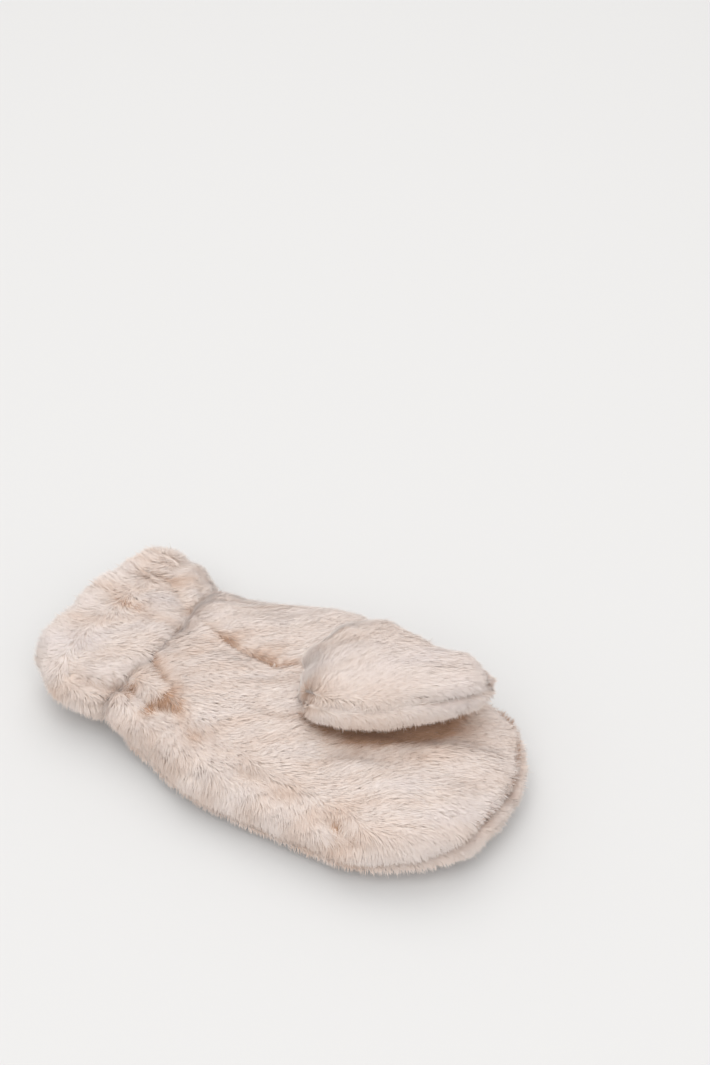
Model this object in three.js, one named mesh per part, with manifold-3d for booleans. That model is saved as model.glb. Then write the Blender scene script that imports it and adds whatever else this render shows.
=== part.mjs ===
// A short-pile fur mitten that lies palm up, with its thumb folded over the palm.
// Millimetres. +X runs from the cuff's mouth to the fingertips, +Y to the thumb side and +Z up.
// The origin is under the middle of the mitten, on the surface that it lies on.

import * as THREE from "three";
import Module from "manifold-3d";

const wasm = await Module();
wasm.setup();

// Driving dimensions
const WRIST_X = -62; // the gathered line where the cuff is sewn to the hand
const WRIST_BOW = { y: -20, bend: 0.0035 }; // the gathered line bows back towards its two ends
const WRIST_REACH = 45; // how far into the hand that bow can be seen
const FINGERTIP_X = 78; // the middle that the rounded fingertip end is drawn about
const SIDE_WALL = 9; // backing and pile, measured across at the seam round the hand
const PIECE_GAP = 0.3; // between two pieces that are sewn together
const FACET_MARGIN = 0.45; // more than two facetings of one curve differ by
const BODY_POWER = 2.2; // 2 is an ellipse, more is boxier
// Between the two rolls of fur at the hand's edge, where the pile closes it on the near side
const SEAM_GROOVE = { near: 1.2, far: 4, height: 4.5 };
const REST_SINK = 3; // how much of the back's curve is pressed flat on the surface
const REST_FADE = { from: 1, over: 3 }; // heights between which the pile's locks rise to full size
const THUMB_WALL = 7;
const THUMB_GROOVE = { depth: 2.2, facets: 1.3 }; // how far the thumb's seams sink, and how widely
const THUMB_FADE = { plain: 2, root: 5, tip: 3 }; // facets over which its locks and grooves come in
const THUMB_CROWDING = 1.35; // more than 1 sets its sections closer together towards the tip
const THUMB_TIP_ROUND = 18; // length of the thumb's rounded end
const THUMB_HOLE_DEPTH = 16; // down from the thumb's lowest section, through the palm's wall
const GUSSET_BLOCK = { left: -102, far: 80, tall: 90 }; // past the mitten on every side
const FUR_ROUGHNESS = 0.95;

// The pile lies in low locks along the mitten, in lanes whose locks start at different places
const LOCK = { length: 27, width: 15, height: 1.5, tip: 0.22 };
const LANE = { shift: 0.37, sway: 0.12, turn: 2.1 };
const LANE_ROLL = { share: 0.6, fade: 30 }; // how the lanes go on over the hand's rounded edges

// The hand's cross-sections from the wrist to the fingertip middle. near and far are its two edges,
// crown and foot are its highest and lowest lines, and the seams are the heights of the edge seam.
const HAND = [
  { x: -62, near: -59, far: 44, crown: 34, foot: 2, nearSeam: 14.5, farSeam: 14.5, wall: 6.3 },
  { x: -54, near: -62.5, far: 46, crown: 37.8, foot: 0.8, nearSeam: 14.5, farSeam: 16.5, wall: 7.3 },
  { x: -44, near: -66, far: 48, crown: 39.8, foot: 0, nearSeam: 13.5, farSeam: 18, wall: 8 },
  { x: -22, near: -70.5, far: 51.5, crown: 41, foot: 0, nearSeam: 12, farSeam: 18.5, wall: 8 },
  { x: 0, near: -73, far: 55, crown: 41, foot: 0, nearSeam: 11, farSeam: 18.5, wall: 8 },
  { x: 24, near: -71, far: 58, crown: 40, foot: 0, nearSeam: 10.5, farSeam: 17.5, wall: 8 },
  { x: 50, near: -67.5, far: 61, crown: 38.5, foot: 0, nearSeam: 11, farSeam: 17, wall: 8 },
  { x: 78, near: -63.5, far: 62.5, crown: 37.5, foot: 0, nearSeam: 12.5, farSeam: 16.5, wall: 8 },
];

// The rounded fingertip end about its middle, from the near side (-90) to the thumb side (90).
// There the palm's roll of fur stands in from the back's by palmInset, with a groove between them.
const FINGERTIPS = [
  { angle: -90, reach: 63, seam: 12.5, palmInset: 0, groove: 1.2 },
  { angle: -60, reach: 59.5, seam: 15.5, palmInset: 0.3, groove: 2.6 },
  { angle: -40, reach: 60.5, seam: 18.5, palmInset: 1.2, groove: 4.2 },
  { angle: -20, reach: 60.5, seam: 20.5, palmInset: 2.2, groove: 5 },
  { angle: 0, reach: 59.5, seam: 21.5, palmInset: 2.8, groove: 5 },
  { angle: 20, reach: 62.5, seam: 22, palmInset: 3.3, groove: 5 },
  { angle: 40, reach: 65.5, seam: 21.5, palmInset: 3, groove: 5 },
  { angle: 58, reach: 66.5, seam: 20, palmInset: 2, groove: 4.6 },
  { angle: 75, reach: 64, seam: 18, palmInset: 1, groove: 4.2 },
  { angle: 90, reach: 63, seam: 16.5, palmInset: 0, groove: 4 },
];

// The cuff's rings, in order: along its outside to the mouth, round the lip and back inside
const CUFF = [
  { x: -62.5, y: -8.5, z: 18, halfWidth: 52.5, halfHeight: 16 },
  { x: -68, y: -8.8, z: 19.6, halfWidth: 56.6, halfHeight: 18.7 },
  { x: -77, y: -8.5, z: 20.8, halfWidth: 59, halfHeight: 20.8 },
  { x: -88, y: -7.8, z: 21.6, halfWidth: 59.2, halfHeight: 21.6 },
  { x: -99, y: -6.8, z: 21.8, halfWidth: 58.4, halfHeight: 21.8 },
  { x: -108, y: -5.6, z: 22, halfWidth: 56.4, halfHeight: 21.2 },
  { x: -116, y: -4.5, z: 22, halfWidth: 52.5, halfHeight: 18 },
  { x: -120.5, y: -4.5, z: 22, halfWidth: 46, halfHeight: 13.8 },
  { x: -117, y: -4.5, z: 22, halfWidth: 42, halfHeight: 10.4 },
  { x: -107, y: -5.5, z: 21.6, halfWidth: 41.5, halfHeight: 9.8 },
  { x: -92, y: -7, z: 20.6, halfWidth: 43, halfHeight: 9.8 },
  { x: -77, y: -8, z: 18.8, halfWidth: 43.5, halfHeight: 9 },
  { x: -62.5, y: -8.5, z: 16.5, halfWidth: 43.2, halfHeight: 8.2 },
];
const CUFF_WIDEST = 3; // rows of the cuff's widest and outermost rings
const CUFF_LIP = 7;
const CUFF_FLATNESS = 0.78; // its girth against that of a circle of the same width
const CUFF_SEAM_FADE = 2; // rings over which its locks come in from the wrist

// The thumb's sections from its hole in the palm to its tip: its two edges in plan, the height of its
// middle, how steeply it rises there and half its thickness
const THUMB = [
  { nearX: 27, nearY: -8, farX: 25, farY: 45, z: 32, pitch: 90, halfThick: 14 },
  { nearX: 31.5, nearY: -15, farX: 24, farY: 49, z: 43, pitch: 62, halfThick: 14 },
  { nearX: 41.5, nearY: -20.5, farX: 31, farY: 50, z: 50.5, pitch: 24, halfThick: 13.5 },
  { nearX: 57, nearY: -15, farX: 44.5, farY: 48.5, z: 52.3, pitch: 3, halfThick: 12.6 },
  { nearX: 73, nearY: -2, farX: 58.5, farY: 48.5, z: 52.3, pitch: 0, halfThick: 12.3 },
  { nearX: 86, nearY: 13, farX: 71, farY: 50, z: 52, pitch: -1, halfThick: 11.8 },
  { nearX: 96, nearY: 27, farX: 83, farY: 52, z: 51.8, pitch: -2, halfThick: 11.2 },
  { nearX: 105, nearY: 37.5, farX: 97, farY: 53, z: 51.5, pitch: -2, halfThick: 10.2 },
];
// Angles round a thumb section where its two panels are sewn: 0 is the far edge, 90 the top
const THUMB_SEAMS = { far: 4, near: 152 };

// The near seam of the thumb's gusset on the palm, from the wrist to the foot of the thumb
const GUSSET_SEAM = [
  { x: -66, y: 9 },
  { x: -46, y: 3.5 },
  { x: -28, y: 1.5 },
  { x: -4, y: 3 },
  { x: 10, y: 10 },
  { x: 17, y: 19 },
];
const GUSSET_END = [
  { x: 22, y: 32 },
  { x: 32, y: 46 },
  { x: 40, y: 74 },
];

// Folds, dents and swells of the pile: a line from one place to another, how wide it fades and how
// far it lifts the surface. A negative lift is a furrow.
const PALM_FOLDS = [
  { fromX: -36, fromY: -50, toX: 20, toY: -57, fade: 6, lift: -1.6 },
  { fromX: 20, fromY: -57, toX: 84, toY: -53, fade: 5, lift: -1.2 },
  { fromX: 75, fromY: -54, toX: 81, toY: -53, fade: 4, lift: -2.6 },
  { fromX: -60, fromY: -28, toX: -22, toY: -32, fade: 6, lift: -2.6 },
  { fromX: -52, fromY: -38, toX: -38, toY: -42, fade: 6.5, lift: 2.6 },
  { fromX: -54, fromY: -48, toX: -34, toY: -50, fade: 5, lift: -2.6 },
  { fromX: -14, fromY: -30, toX: 52, toY: -33, fade: 6, lift: -2 },
  { fromX: 52, fromY: -33, toX: 108, toY: -24, fade: 7, lift: -1.4 },
  { fromX: 70, fromY: -12, toX: 126, toY: -4, fade: 7, lift: -1.2 },
  { fromX: 50, fromY: -12, toX: 94, toY: 31, fade: 12, lift: -5 },
  { fromX: -40, fromY: 22, toX: -6, toY: 28, fade: 13, lift: 3.5 },
  { fromX: -26, fromY: 44, toX: 6, toY: 46, fade: 14, lift: 6 },
  { fromX: 6, fromY: 46, toX: 28, toY: 48, fade: 14, lift: 8.5 },
];
const GUSSET_GROOVE = { fade: 4, lift: -4 };
const CUFF_FOLDS = [
  { fromX: -68, fromY: 11, toX: -101, toY: 28, fade: 5, lift: -3.2 },
  { fromX: -108, fromY: 5, toX: -96, toY: 2, fade: 4.5, lift: -3 },
  { fromX: -62, fromY: -42, toX: -92, toY: -48, fade: 6, lift: -2.4 },
  { fromX: -66, fromY: -14, toX: -96, toY: -18, fade: 6, lift: -1.8 },
];

// Puckers of the gathered wrist: angle round the wrist (0 far edge, 90 top, 180 near edge), how deep,
// how wide in degrees and how far they run to either side of the gathered line
const PUCKERS = [
  { angle: 8, depth: 3.2, spread: 7, run: 9 },
  { angle: 33, depth: 3, spread: 7, run: 12 },
  { angle: 56, depth: 3.4, spread: 6, run: 11 },
  { angle: 79, depth: 3.4, spread: 6, run: 15 },
  { angle: 98, depth: 3, spread: 6, run: 10 },
  { angle: 115, depth: 3.6, spread: 6, run: 14 },
  { angle: 137, depth: 3.8, spread: 7, run: 15 },
  { angle: 158, depth: 3.4, spread: 7, run: 11 },
  { angle: 179, depth: 3.6, spread: 7, run: 9 },
  { angle: 205, depth: 3, spread: 8, run: 10 },
  { angle: 232, depth: 3, spread: 8, run: 10 },
  { angle: 262, depth: 3, spread: 8, run: 10 },
  { angle: 292, depth: 3, spread: 8, run: 10 },
  { angle: 322, depth: 3, spread: 8, run: 10 },
  { angle: 344, depth: 3, spread: 7, run: 9 },
];

// How finely each surface is faceted
const HAND_STEPS = { straight: 27, fan: 15, palm: 11, back: 8 };
const HAND_INSIDE_STEPS = { straight: 13, fan: 7, across: 6 };
const THUMB_STEPS = { along: 20, outside: 14, inside: 7, insideAlong: 10 };
const CUFF_STEPS = { round: 56, perRow: 2 };

const FUR_COLOURS = {
  palm: 0xe3d4cb,
  back: 0xdccbc1,
  thumb: 0xe5d6ce,
  thumbInside: 0xdac8bd,
  cuff: 0xe0d1ca,
};

const radians = THREE.MathUtils.degToRad;

// A column of a table at any place, as a smooth curve through its rows
function column(rows, by, name, at) {
  const last = rows.length - 1;
  const rising = rows[last][by] > rows[0][by];
  const sign = rising ? 1 : -1;
  let i = 0;
  while (i < last - 1 && sign * at > sign * rows[i + 1][by]) i += 1;
  const [a, b] = [rows[i], rows[i + 1]];
  const slope = (p, q) => (q[name] - p[name]) / (q[by] - p[by]);
  const here = slope(a, b);
  const start = i > 0 ? (slope(rows[i - 1], a) + here) / 2 : here;
  const end = i < last - 1 ? (here + slope(b, rows[i + 2])) / 2 : here;
  const span = b[by] - a[by];
  const t = THREE.MathUtils.clamp((at - a[by]) / span, 0, 1);
  const ease = t * t * (3 - 2 * t);
  const curve = a[name] + ease * (b[name] - a[name]);
  return curve + span * (start * t * (1 - t) * (1 - t) - end * t * t * (1 - t));
}

function rowAt(rows, by, at) {
  const names = Object.keys(rows[0]).filter((name) => name !== by);
  return Object.fromEntries([[by, at], ...names.map((name) => [name, column(rows, by, name, at)])]);
}

const power = (value, exponent) => Math.sign(value) * Math.abs(value) ** exponent;
const bell = (distance, fade) => Math.exp(-((distance / fade) ** 2));
const clearOfRest = (point) => THREE.MathUtils.clamp((point.z - REST_FADE.from) / REST_FADE.over, 0, 1);

// Distance in plan from a point to the line of a fold
function distanceTo(point, fold) {
  const [dx, dy] = [fold.toX - fold.fromX, fold.toY - fold.fromY];
  const along = ((point.x - fold.fromX) * dx + (point.y - fold.fromY) * dy) / (dx * dx + dy * dy);
  const t = THREE.MathUtils.clamp(along, 0, 1);
  return Math.hypot(point.x - fold.fromX - t * dx, point.y - fold.fromY - t * dy);
}

const foldLift = (point, folds) =>
  folds.reduce((sum, fold) => sum + fold.lift * bell(distanceTo(point, fold), fold.fade), 0);

function gussetGrooveLift(point) {
  const stretches = GUSSET_SEAM.slice(1).map((to, i) => {
    const from = GUSSET_SEAM[i];
    return distanceTo(point, { fromX: from.x, fromY: from.y, toX: to.x, toY: to.y });
  });
  return GUSSET_GROOVE.lift * bell(Math.min(...stretches), GUSSET_GROOVE.fade);
}

// Where the gathered line lies along X, across the wrist
const wristBow = (y) => -WRIST_BOW.bend * (y - WRIST_BOW.y) ** 2;

function puckerLift(point) {
  const neck = CUFF[0];
  const up = (point.z - neck.z) / neck.halfHeight;
  const out = (point.y - neck.y) / neck.halfWidth;
  const angle = THREE.MathUtils.radToDeg(Math.atan2(up, out));
  const fromSeam = point.x - WRIST_X - wristBow(point.y);
  return PUCKERS.reduce((sum, pucker) => {
    const turned = Math.abs(THREE.MathUtils.euclideanModulo(angle - pucker.angle + 180, 360) - 180);
    return sum - pucker.depth * bell(turned, pucker.spread) * bell(fromSeam, pucker.run);
  }, 0);
}

// A low lock rises along the nap, is round across and drops at its tip
function lockLift(along, across) {
  const lane = Math.floor(across / LOCK.width);
  const side = across / LOCK.width - lane;
  const place = along / LOCK.length + LANE.shift * lane + LANE.sway * Math.sin(LANE.turn * lane);
  const rise = place - Math.floor(place);
  const drop = Math.min(1, (1 - rise) / LOCK.tip);
  return LOCK.height * Math.sin(Math.PI * side) * rise * drop;
}

// Triangles with shared vertices
class Facets {
  constructor() {
    this.points = [];
    this.triangles = [];
    this.ids = new Map();
  }

  vertex(point) {
    const key = point.toArray().map((value) => Math.round(value * 1000)).join();
    if (!this.ids.has(key)) {
      this.ids.set(key, this.points.length);
      this.points.push(point);
    }
    return this.ids.get(key);
  }

  triangle(a, b, c) {
    const corners = [this.vertex(a), this.vertex(b), this.vertex(c)];
    if (new Set(corners).size === 3) this.triangles.push(corners);
  }

  // A grid is a list of lines of points; each cell is cut along its shorter diagonal
  grid(lines, turned = false) {
    for (let i = 0; i + 1 < lines.length; i += 1) {
      for (let j = 0; j + 1 < lines[i].length; j += 1) {
        const [a, b, c, d] = [lines[i][j], lines[i + 1][j], lines[i + 1][j + 1], lines[i][j + 1]];
        const corners = a.distanceTo(c) <= b.distanceTo(d) ? [a, b, c, a, c, d] : [a, b, d, b, c, d];
        if (turned) corners.reverse();
        this.triangle(...corners.slice(0, 3));
        this.triangle(...corners.slice(3));
      }
    }
  }

  // A strip between two lines that run side by side and may have different numbers of points
  strip(left, right, turned = false) {
    let [i, j] = [0, 0];
    while (i + 1 < left.length || j + 1 < right.length) {
      const leftNext = (i + 1) / (left.length - 1);
      const rightNext = (j + 1) / (right.length - 1);
      const goLeft = j + 1 >= right.length || (i + 1 < left.length && leftNext <= rightNext);
      const corners = goLeft ? [left[i], left[i + 1], right[j]] : [left[i], right[j + 1], right[j]];
      if (goLeft) i += 1;
      else j += 1;
      if (turned) corners.reverse();
      this.triangle(...corners);
    }
  }

  geometry() {
    const geometry = new THREE.BufferGeometry();
    const values = this.points.flatMap((point) => point.toArray());
    geometry.setAttribute("position", new THREE.Float32BufferAttribute(values, 3));
    geometry.setIndex(this.triangles.flat());
    return geometry;
  }

  solid() {
    const vertProperties = new Float32Array(this.points.flatMap((point) => point.toArray()));
    const build = (corners) => {
      const mesh = new wasm.Mesh({ numProp: 3, vertProperties, triVerts: new Uint32Array(corners) });
      return new wasm.Manifold(mesh);
    };
    const solid = build(this.triangles.flat());
    if (solid.volume() > 0) return solid;
    return build(this.triangles.map((corners) => [...corners].reverse()).flat());
  }
}

// The same lines of points with each point moved along the surface's own normal
function lifted(lines, liftAt) {
  const facets = new Facets();
  facets.grid(lines);
  const geometry = facets.geometry();
  geometry.computeVertexNormals();
  const normals = geometry.getAttribute("normal");
  return lines.map((line, i) =>
    line.map((point, j) => {
      const normal = new THREE.Vector3().fromBufferAttribute(normals, facets.vertex(point));
      return point.clone().addScaledVector(normal, liftAt(point, i, j));
    }),
  );
}

// A panel with thickness: an outside and an inside sheet, closed along both edges and at its start.
// At its end each sheet closes on itself.
function panelSolid(outside, inside) {
  const facets = new Facets();
  facets.grid(outside);
  facets.grid(inside, true);
  const edge = (lines, side) => lines.map((line) => line.at(side));
  facets.strip(edge(outside, 0), edge(inside, 0), true);
  facets.strip(edge(outside, -1), edge(inside, -1));
  facets.strip(outside[0], inside[0]);
  return facets.solid();
}

// One line across the hand: its ridge point and its two edge points, with their seam heights
function handLine(step, steps) {
  const middle = rowAt(HAND, "x", FINGERTIP_X);
  if (step <= steps.straight) {
    const x = WRIST_X + ((FINGERTIP_X - WRIST_X) * step) / steps.straight;
    const row = rowAt(HAND, "x", x);
    const ridge = new THREE.Vector2(x, (row.near + row.far) / 2);
    const edgeOf = (y, seam, groove) => ({ place: new THREE.Vector2(x, y), seam, groove, palmInset: 0 });
    const near = edgeOf(row.near, row.nearSeam, SEAM_GROOVE.near);
    return { row, ridge, near, far: edgeOf(row.far, row.farSeam, SEAM_GROOVE.far) };
  }
  const ridge = new THREE.Vector2(FINGERTIP_X, (middle.near + middle.far) / 2);
  const angle = 90 * (1 - (step - steps.straight) / steps.fan);
  const edgeAt = (turn) => {
    const { reach, ...edge } = rowAt(FINGERTIPS, "angle", turn);
    const place = new THREE.Vector2(Math.cos(radians(turn)), Math.sin(radians(turn)));
    return { place: place.multiplyScalar(reach).add(ridge), ...edge };
  };
  return { row: middle, ridge, near: edgeAt(-angle), far: edgeAt(angle) };
}

// Lines of points over the palm (side 1) or under the back (side -1), outside or inside the wall
function handSheet(side, steps, across, isInside) {
  const rise = 2 / BODY_POWER;
  return Array.from({ length: steps.straight + steps.fan + 1 }, (_, step) => {
    const { row, ridge, near, far } = handLine(step, steps);
    const wall = isInside ? row.wall : 0;
    const top = side > 0 ? row.crown - wall : row.foot + wall;
    return Array.from({ length: 2 * across + 1 }, (_, j) => {
      const edge = j < across ? near : far;
      const turn = (Math.PI / 2) * (Math.abs(j - across) / across);
      const outwards = edge.place.clone().sub(ridge);
      const seam = edge.seam + (side * PIECE_GAP) / 2;
      const sink = side < 0 && !isInside ? REST_SINK : 0;
      const deepest = top - seam + side * sink;
      const z = seam + deepest * power(Math.cos(turn), rise);
      const groove = edge.groove * bell(z - seam, SEAM_GROOVE.height);
      const inset = (side > 0 ? edge.palmInset : 0) + (isInside ? SIDE_WALL : 0);
      const reach = outwards.length() - inset;
      const out = Math.max(0, reach * power(Math.sin(turn), rise) - (isInside ? 0 : groove));
      const place = ridge.clone().addScaledVector(outwards.normalize(), out);
      const bowed = Math.max(0, 1 - (place.x - WRIST_X) / WRIST_REACH) ** 2 * wristBow(place.y);
      return new THREE.Vector3(place.x + bowed, place.y, side < 0 ? Math.max(top, z) : z);
    });
  });
}

// Where a place on the hand lies across the nap, measured on over its rounded edges
const acrossHand = (point) => {
  const half = HAND.at(-1).crown / 2;
  const down = half - Math.abs(half - point.z);
  return point.y + LANE_ROLL.share * down * Math.tanh(point.y / LANE_ROLL.fade);
};

// How far along a line of points each point lies from the ridge in its middle
const acrossFromRidge = (lines, i, j) => {
  const middle = (lines[i].length - 1) / 2;
  const step = Math.sign(j - middle);
  let length = 0;
  for (let at = middle; at !== j; at += step) length += lines[i][at].distanceTo(lines[i][at + step]);
  return length * step;
};

// Full size away from both seam edges of a panel, nothing at them
const clearOfEdges = (line, j) => Math.min(1, Math.min(j, line.length - 1 - j) / 2);

function palmSolid() {
  const base = handSheet(1, HAND_STEPS, HAND_STEPS.palm, false);
  const outside = lifted(base, (point, i, j) => {
    const locks = lockLift(point.x, acrossHand(point));
    const shaped = foldLift(point, PALM_FOLDS) + gussetGrooveLift(point) + puckerLift(point);
    return (locks + shaped) * clearOfEdges(base[i], j);
  });
  return panelSolid(outside, handSheet(1, HAND_INSIDE_STEPS, HAND_INSIDE_STEPS.across, true));
}

function backSolid() {
  const base = handSheet(-1, HAND_STEPS, HAND_STEPS.back, false);
  const outside = lifted(base, (point, i, j) => {
    const locks = lockLift(point.x, acrossHand(point)) * clearOfRest(point);
    return (-locks - puckerLift(point)) * clearOfEdges(base[i], j);
  });
  outside.flat().forEach((point) => point.setZ(Math.max(0, point.z)));
  return panelSolid(outside, handSheet(-1, HAND_INSIDE_STEPS, HAND_INSIDE_STEPS.across, true));
}

// The gusset's outline in plan, widened or narrowed along its seam, as an upright block to cut with
function gussetBlock(inset) {
  const seam = [...GUSSET_SEAM, ...GUSSET_END];
  const shifted = seam.map((point, i) => {
    const [before, after] = [seam[Math.max(0, i - 1)], seam[Math.min(seam.length - 1, i + 1)]];
    const normal = new THREE.Vector2(before.y - after.y, after.x - before.x).normalize();
    return new THREE.Vector2(point.x + inset * normal.x, point.y + inset * normal.y);
  });
  const { left, far, tall } = GUSSET_BLOCK;
  const shape = new THREE.Shape([
    new THREE.Vector2(left, shifted[0].y),
    ...shifted,
    new THREE.Vector2(shifted.at(-1).x, far),
    new THREE.Vector2(left, far),
  ]);
  return solidOf(new THREE.ExtrudeGeometry(shape, { depth: tall, bevelEnabled: false }));
}

function solidOf(geometry) {
  const facets = new Facets();
  const positions = geometry.getAttribute("position");
  const corner = (i) => {
    const id = geometry.index ? geometry.index.getX(i) : i;
    return new THREE.Vector3().fromBufferAttribute(positions, id);
  };
  const count = geometry.index ? geometry.index.count : positions.count;
  for (let i = 0; i < count; i += 3) facets.triangle(corner(i), corner(i + 1), corner(i + 2));
  return facets.solid();
}

// A section of the thumb at a share of its length: its middle, its two directions and half sizes
function thumbSection(share, shrink) {
  const rows = THUMB.map((row, i) => ({ ...row, share: i / (THUMB.length - 1) }));
  const row = rowAt(rows, "share", share);
  const pitch = radians(row.pitch);
  const across = new THREE.Vector3(row.farX - row.nearX, row.farY - row.nearY, 0);
  const halfWidth = across.length() / 2;
  across.normalize();
  const ahead = new THREE.Vector3(across.y, -across.x, 0);
  const up = new THREE.Vector3(0, 0, Math.cos(pitch)).addScaledVector(ahead, -Math.sin(pitch));
  const middle = new THREE.Vector3((row.nearX + row.farX) / 2, (row.nearY + row.farY) / 2, row.z);
  const end = THUMB.at(-1);
  const tip = new THREE.Vector3((end.nearX + end.farX) / 2, (end.nearY + end.farY) / 2, end.z);
  const toTip = Math.max(0, middle.distanceTo(tip) - Math.max(0, shrink));
  const nearTip = Math.min(1, toTip / (THUMB_TIP_ROUND - Math.max(0, shrink)));
  const closing = Math.sqrt(1 - (1 - nearTip) ** 2);
  return {
    middle,
    across,
    up,
    halfWidth: (halfWidth - shrink) * closing,
    halfThick: (row.halfThick - shrink) * closing,
  };
}

function thumbPoint(section, degrees, sink) {
  const rise = 2 / BODY_POWER;
  const halfWidth = Math.max(0, section.halfWidth - sink);
  const halfThick = Math.max(0, section.halfThick - sink);
  return section.middle
    .clone()
    .addScaledVector(section.across, halfWidth * power(Math.cos(radians(degrees)), rise))
    .addScaledVector(section.up, halfThick * power(Math.sin(radians(degrees)), rise));
}

// Shares of the thumb's length, closer together towards its tip
const thumbShares = (count, end) =>
  Array.from({ length: count + 1 }, (_, i) => end * (1 - (1 - i / count) ** THUMB_CROWDING));

// Lines of points along the thumb between two angles, drawn in by shrink and by sinkAt at each point
function thumbSheet(from, to, counts, shrink, shift, sinkAt = () => 0) {
  const lastStretch = 1 / (THUMB.length - 1);
  const tipShare = 1 - (Math.max(0, shrink) / THUMB_TIP_ROUND) * lastStretch;
  return thumbShares(counts.along, tipShare).map((share, i) => {
    const section = thumbSection(share, shrink);
    if (i === counts.along) Object.assign(section, { halfWidth: 0, halfThick: 0 });
    section.middle.addScaledVector(section.up, shift);
    return Array.from({ length: counts.round + 1 }, (_, j) =>
      thumbPoint(section, from + ((to - from) * j) / counts.round, sinkAt(i, j)),
    );
  });
}

function thumbPanelSolid(from, to, shift) {
  const counts = { along: THUMB_STEPS.along, round: THUMB_STEPS.outside };
  const clearOfEnds = (i) => {
    const fromRoot = (i - THUMB_FADE.plain) / THUMB_FADE.root;
    return THREE.MathUtils.clamp(Math.min(fromRoot, (counts.along - i) / THUMB_FADE.tip), 0, 1);
  };
  const seamGroove = (i, j) =>
    THUMB_GROOVE.depth * bell(Math.min(j, counts.round - j), THUMB_GROOVE.facets) * clearOfEnds(i);
  const base = thumbSheet(from, to, counts, 0, shift, seamGroove);
  const outside = lifted(base, (point, i, j) => {
    const locks = lockLift(point.x, acrossFromRidge(base, i, j));
    return -locks * clearOfEdges(base[i], j) * clearOfEnds(i);
  });
  const inner = { along: THUMB_STEPS.insideAlong, round: THUMB_STEPS.inside };
  return panelSolid(outside, thumbSheet(from, to, inner, THUMB_WALL, shift));
}

// The thumb as one closed lobe, larger or smaller than it is by a distance, or the part of that lobe
// between two angles round its sections
function thumbLobe(grow, from = 0, to = 360) {
  const counts = { along: THUMB_STEPS.along, round: 2 * THUMB_STEPS.outside };
  const lines = thumbSheet(from, to, counts, -grow, 0).map((line) => [...line, line[0]]);
  lines.unshift(lines[0].map((point) => point.clone().setZ(point.z - THUMB_HOLE_DEPTH)));
  const facets = new Facets();
  facets.grid(lines);
  const base = lines[0].slice(1);
  const middle = base.reduce((sum, point) => sum.add(point), new THREE.Vector3()).divideScalar(base.length);
  base.forEach((point, j) => facets.triangle(lines[0][j], point, middle));
  return facets.solid();
}

function cuffSolid() {
  const rise = 2 / BODY_POWER;
  const rows = CUFF.map((row, i) => ({ ...row, order: i }));
  const ringCount = (CUFF.length - 1) * CUFF_STEPS.perRow;
  const base = Array.from({ length: ringCount + 1 }, (_, i) => {
    const row = rowAt(rows, "order", i / CUFF_STEPS.perRow);
    return Array.from({ length: CUFF_STEPS.round + 1 }, (_, j) => {
      const turn = (2 * Math.PI * (j % CUFF_STEPS.round)) / CUFF_STEPS.round;
      const y = row.y + row.halfWidth * power(Math.cos(turn), rise);
      const z = row.z + row.halfHeight * power(Math.sin(turn), rise);
      const fromMouth = (row.x - CUFF[CUFF_LIP].x) / (CUFF[0].x - CUFF[CUFF_LIP].x);
      return new THREE.Vector3(row.x + fromMouth * wristBow(y), y, z);
    });
  });
  const widest = CUFF[CUFF_WIDEST];
  const girth = 2 * Math.PI * widest.halfWidth * CUFF_FLATNESS;
  const lines = lifted(base, (point, i, j) => {
    const outside = i < CUFF_LIP * CUFF_STEPS.perRow;
    const clearOfWrist = Math.min(1, i / CUFF_SEAM_FADE);
    const across = (girth * (j % CUFF_STEPS.round)) / CUFF_STEPS.round;
    const locks = lockLift(-point.x, across) * clearOfRest(point) * clearOfWrist;
    const folds = point.z > widest.z ? foldLift(point, CUFF_FOLDS) : 0;
    return outside ? locks + folds + puckerLift(point) : 0;
  });
  lines.flat().forEach((point) => point.setZ(Math.max(0, point.z)));
  const facets = new Facets();
  facets.grid(lines);
  facets.grid([lines.at(-1), lines[0]]);
  return facets.solid();
}

function fur(name, colour, solid) {
  const { vertProperties, triVerts } = solid.getMesh();
  const geometry = new THREE.BufferGeometry();
  geometry.setAttribute("position", new THREE.BufferAttribute(vertProperties, 3));
  geometry.setIndex(new THREE.BufferAttribute(triVerts, 1));
  const material = new THREE.MeshStandardMaterial({ color: colour, roughness: FUR_ROUGHNESS, metalness: 0 });
  const mesh = new THREE.Mesh(geometry, material);
  mesh.name = name;
  return mesh;
}

const palm = palmSolid();
const thumbClear = thumbLobe(PIECE_GAP + FACET_MARGIN);
const thumbHollow = thumbLobe(-THUMB_WALL);
const thumbOuter = thumbPanelSolid(THUMB_SEAMS.far, THUMB_SEAMS.near, PIECE_GAP / 2);
const thumbInner = thumbPanelSolid(THUMB_SEAMS.near, THUMB_SEAMS.far + 360, -PIECE_GAP / 2);
const thumbInnerClear = thumbLobe(PIECE_GAP + FACET_MARGIN, THUMB_SEAMS.near, THUMB_SEAMS.far + 360);
const gusset = palm.intersect(gussetBlock(PIECE_GAP)).subtract(thumbHollow).subtract(thumbInnerClear);

const mitten = new THREE.Group();
mitten.add(
  fur("palm_panel", FUR_COLOURS.palm, palm.subtract(gussetBlock(0)).subtract(thumbClear)),
  fur("back_panel", FUR_COLOURS.back, backSolid()),
  fur("thumb_outer_panel", FUR_COLOURS.thumb, thumbOuter.add(gusset)),
  fur("thumb_inner_panel", FUR_COLOURS.thumbInside, thumbInner),
  fur("cuff", FUR_COLOURS.cuff, cuffSolid()),
);

const reach = new THREE.Box3().setFromObject(mitten);
const middle = reach.getCenter(new THREE.Vector3());
mitten.position.set(-middle.x, -middle.y, 0);

export default mitten;
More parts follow.
